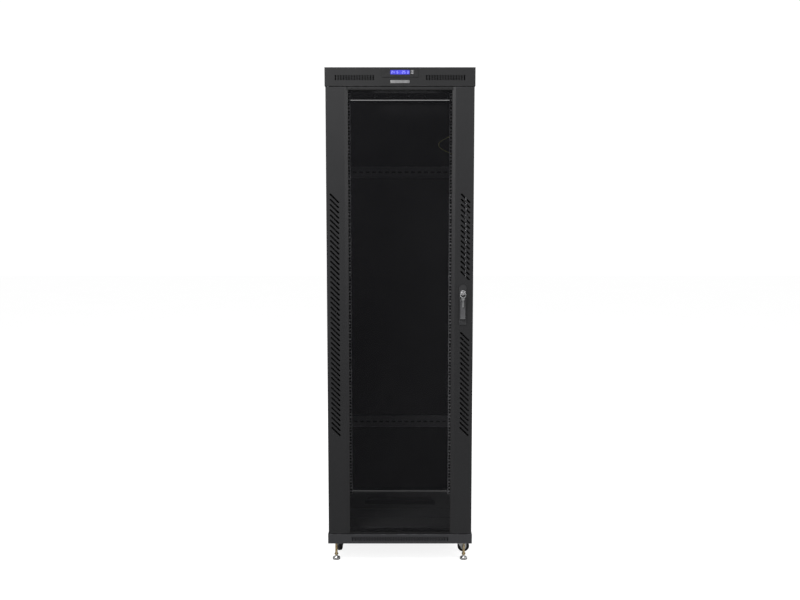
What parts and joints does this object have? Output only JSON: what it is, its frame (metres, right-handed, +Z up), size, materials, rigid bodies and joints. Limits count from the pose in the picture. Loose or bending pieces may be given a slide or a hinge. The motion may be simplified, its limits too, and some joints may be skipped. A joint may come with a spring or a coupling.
{
  "type": "server rack cabinet",
  "caption": "Tall free-standing 19-inch equipment cabinet with a slotted-border glass front door, swing handle, roof fans, castors and levelling feet.",
  "frame": {"origin": "on the floor, at the centre of the overall box", "axes": "+X to the right seen from the front, -Y out of the front door, +Z up"},
  "size_m": [0.6, 0.672, 2.034],
  "materials": {
    "painted_frame": "powder coat, fine texture",
    "painted_rails": "powder coat, smooth",
    "painted_shell": "powder coat, fine texture",
    "painted_front": "powder coat, fine texture",
    "painted_base": "powder coat, fine texture",
    "black_plastic": "moulded",
    "bright_wire": "plated",
    "display": "backlit window",
    "pale_plastic": "moulded",
    "zinc_steel": "zinc plated",
    "lead_sheath": "sheath",
    "wheel_nylon": "moulded",
    "yellow_zinc": "yellow chromate",
    "tinted_glass": "tempered, grey tint",
    "black_screw": "black oxide",
    "handle_grey": "fine texture",
    "chrome": "polished"
  },
  "bodies": {
    "cabinet": {"front_posts": "painted_frame", "rear_posts": "painted_frame", "base_frame": "painted_frame", "top_frame": "painted_frame", "depth_beams": "painted_frame", "front_rails": "painted_rails", "rear_rails": "painted_rails", "bottom_plate": "painted_frame", "roof_panel": "painted_shell", "cable_entry_covers": "painted_frame", "top_fascia": "painted_front", "base_fascias": "painted_base", "fan_housings": "black_plastic", "fan_guards": "bright_wire", "controller_case": "black_plastic", "controller_bezel": "black_plastic", "display_window": "display", "hinge_pins": "zinc_steel", "earth_lead": "lead_sheath", "frame_screws": "zinc_steel", "castor_plates": "zinc_steel", "foot_nuts": "yellow_zinc"},
    "front_door": {"door_left_border": "painted_front", "door_right_border": "painted_front", "door_cross_strips": "painted_front", "door_glass": "tinted_glass", "door_screws": "black_screw", "handle_base": "handle_grey", "rod_guides": "black_plastic"},
    "spindle": {"handle_spindle": "zinc_steel"},
    "lever": {"handle_lever": "handle_grey"},
    "lock": {"lock_cylinder": "chrome", "lock_key": "chrome"},
    "spare_key": {"spare_key": "chrome"},
    "rod_upper": {"lock_rod_upper": "zinc_steel"},
    "rod_lower": {"lock_rod_lower": "zinc_steel"},
    "rear_door": {"rear_door": "painted_shell", "rear_door_ribs": "painted_shell"},
    "rear_lock": {"rear_lock": "chrome"},
    "left_side_panel": {"left_side_panel": "painted_shell"},
    "right_side_panel": {"right_side_panel": "painted_shell"},
    "left_panel_lock": {"left_panel_lock": "chrome"},
    "right_panel_lock": {"right_panel_lock": "chrome"},
    "fan_left": {"fan_rotor_left": "black_plastic"},
    "fan_right": {"fan_rotor_right": "black_plastic"},
    "button_up": {"button_up": "pale_plastic"},
    "button_set": {"button_set": "pale_plastic"},
    "button_down": {"button_down": "pale_plastic"},
    "castor_fl": {"castor_fork_fl": "zinc_steel"},
    "wheel_fl": {"castor_wheel_fl": "wheel_nylon"},
    "foot_fl": {"levelling_foot_fl": "yellow_zinc"},
    "castor_fr": {"castor_fork_fr": "zinc_steel"},
    "wheel_fr": {"castor_wheel_fr": "wheel_nylon"},
    "foot_fr": {"levelling_foot_fr": "yellow_zinc"},
    "castor_rl": {"castor_fork_rl": "zinc_steel"},
    "wheel_rl": {"castor_wheel_rl": "wheel_nylon"},
    "foot_rl": {"levelling_foot_rl": "yellow_zinc"},
    "castor_rr": {"castor_fork_rr": "zinc_steel"},
    "wheel_rr": {"castor_wheel_rr": "wheel_nylon"},
    "foot_rr": {"levelling_foot_rr": "yellow_zinc"}
  },
  "joints": [
    {"name": "front_door_hinge", "type": "hinge", "parent": "cabinet", "child": "front_door", "pos_m": [-0.288, -0.286, 0.124], "axis": [0, 0, -1], "range_deg": [0, 120]},
    {"name": "rear_door_hinge", "type": "hinge", "parent": "cabinet", "child": "rear_door", "pos_m": [-0.288, 0.286, 0.124], "axis": [0, 0, 1], "range_deg": [0, 120]},
    {"name": "handle_turn", "type": "hinge", "parent": "front_door", "child": "spindle", "pos_m": [0.255, -0.3085, 1.107], "axis": [0, 1, 0], "range_deg": [0, 90]},
    {"name": "lever_lift", "type": "hinge", "parent": "spindle", "child": "lever", "pos_m": [0.255, -0.3085, 1.107], "axis": [-1, 0, 0], "range_deg": [0, 35]},
    {"name": "rod_upper_slide", "type": "slide", "parent": "front_door", "child": "rod_upper", "axis": [0, 0, -1], "range_m": [0, 0.018]},
    {"name": "rod_lower_slide", "type": "slide", "parent": "front_door", "child": "rod_lower", "axis": [0, 0, 1], "range_m": [0, 0.018]},
    {"name": "lock_turn", "type": "hinge", "parent": "front_door", "child": "lock", "pos_m": [0.255, -0.304, 1.135], "axis": [0, 1, 0], "range_deg": [0, 90]},
    {"name": "spare_key_swing", "type": "hinge", "parent": "front_door", "child": "spare_key", "pos_m": [0.255, -0.3185, 1.135], "axis": [0, -1, 0], "range_deg": [0, 60]},
    {"name": "rear_lock_turn", "type": "hinge", "parent": "rear_door", "child": "rear_lock", "pos_m": [0.255, 0.3, 1.085], "axis": [0, 1, 0], "range_deg": [0, 90]},
    {"name": "left_panel_slide", "type": "slide", "parent": "cabinet", "child": "left_side_panel", "axis": [-1, 0, 0], "range_m": [0, 0.15]},
    {"name": "left_panel_lock_turn", "type": "hinge", "parent": "left_side_panel", "child": "left_panel_lock", "pos_m": [-0.3, 0, 1.908], "axis": [-1, 0, 0], "range_deg": [0, 90]},
    {"name": "right_panel_slide", "type": "slide", "parent": "cabinet", "child": "right_side_panel", "axis": [1, 0, 0], "range_m": [0, 0.15]},
    {"name": "right_panel_lock_turn", "type": "hinge", "parent": "right_side_panel", "child": "right_panel_lock", "pos_m": [0.3, 0, 1.908], "axis": [1, 0, 0], "range_deg": [0, 90]},
    {"name": "fan_left_spin", "type": "hinge", "parent": "cabinet", "child": "fan_left", "pos_m": [-0.11, 0, 2.014], "axis": [0, 0, 1], "continuous": true},
    {"name": "fan_right_spin", "type": "hinge", "parent": "cabinet", "child": "fan_right", "pos_m": [0.11, 0, 2.014], "axis": [0, 0, 1], "continuous": true},
    {"name": "button_up_press", "type": "slide", "parent": "cabinet", "child": "button_up", "axis": [0, 1, 0], "range_m": [0, 0.001], "stiffness_N_per_m": 400, "springref_m": -0.0005},
    {"name": "button_set_press", "type": "slide", "parent": "cabinet", "child": "button_set", "axis": [0, 1, 0], "range_m": [0, 0.001], "stiffness_N_per_m": 400, "springref_m": -0.0005},
    {"name": "button_down_press", "type": "slide", "parent": "cabinet", "child": "button_down", "axis": [0, 1, 0], "range_m": [0, 0.001], "stiffness_N_per_m": 400, "springref_m": -0.0005},
    {"name": "castor_fl_swivel", "type": "hinge", "parent": "cabinet", "child": "castor_fl", "pos_m": [-0.257, -0.17, 0.076], "axis": [0, 0, 1], "continuous": true},
    {"name": "wheel_fl_roll", "type": "hinge", "parent": "castor_fl", "child": "wheel_fl", "pos_m": [-0.26247, -0.15496, 0.028], "axis": [0.9397, 0.342, 0], "continuous": true},
    {"name": "castor_fr_swivel", "type": "hinge", "parent": "cabinet", "child": "castor_fr", "pos_m": [0.257, -0.17, 0.076], "axis": [0, 0, 1], "continuous": true},
    {"name": "wheel_fr_roll", "type": "hinge", "parent": "castor_fr", "child": "wheel_fr", "pos_m": [0.273, -0.17, 0.028], "axis": [0, -1, 0], "continuous": true},
    {"name": "castor_rl_swivel", "type": "hinge", "parent": "cabinet", "child": "castor_rl", "pos_m": [-0.257, 0.17, 0.076], "axis": [0, 0, 1], "continuous": true},
    {"name": "wheel_rl_roll", "type": "hinge", "parent": "castor_rl", "child": "wheel_rl", "pos_m": [-0.257, 0.154, 0.028], "axis": [-1, 0, 0], "continuous": true},
    {"name": "castor_rr_swivel", "type": "hinge", "parent": "cabinet", "child": "castor_rr", "pos_m": [0.257, 0.17, 0.076], "axis": [0, 0, 1], "continuous": true},
    {"name": "wheel_rr_roll", "type": "hinge", "parent": "castor_rr", "child": "wheel_rr", "pos_m": [0.257, 0.154, 0.028], "axis": [-1, 0, 0], "continuous": true},
    {"name": "foot_fl_extend", "type": "slide", "parent": "cabinet", "child": "foot_fl", "axis": [0, 0, -1], "range_m": [0, 0.02]},
    {"name": "foot_fr_extend", "type": "slide", "parent": "cabinet", "child": "foot_fr", "axis": [0, 0, -1], "range_m": [0, 0.02]},
    {"name": "foot_rl_extend", "type": "slide", "parent": "cabinet", "child": "foot_rl", "axis": [0, 0, -1], "range_m": [0, 0.02]},
    {"name": "foot_rr_extend", "type": "slide", "parent": "cabinet", "child": "foot_rr", "axis": [0, 0, -1], "range_m": [0, 0.02]}
  ],
  "couplings": [
    {"joint": "spare_key_swing", "follows": "lever_lift", "ratio": 1.714},
    {"joint": "handle_turn", "follows": "rod_upper_slide", "rad_per_m": 87.26},
    {"joint": "rod_lower_slide", "follows": "rod_upper_slide", "ratio": 1}
  ]
}
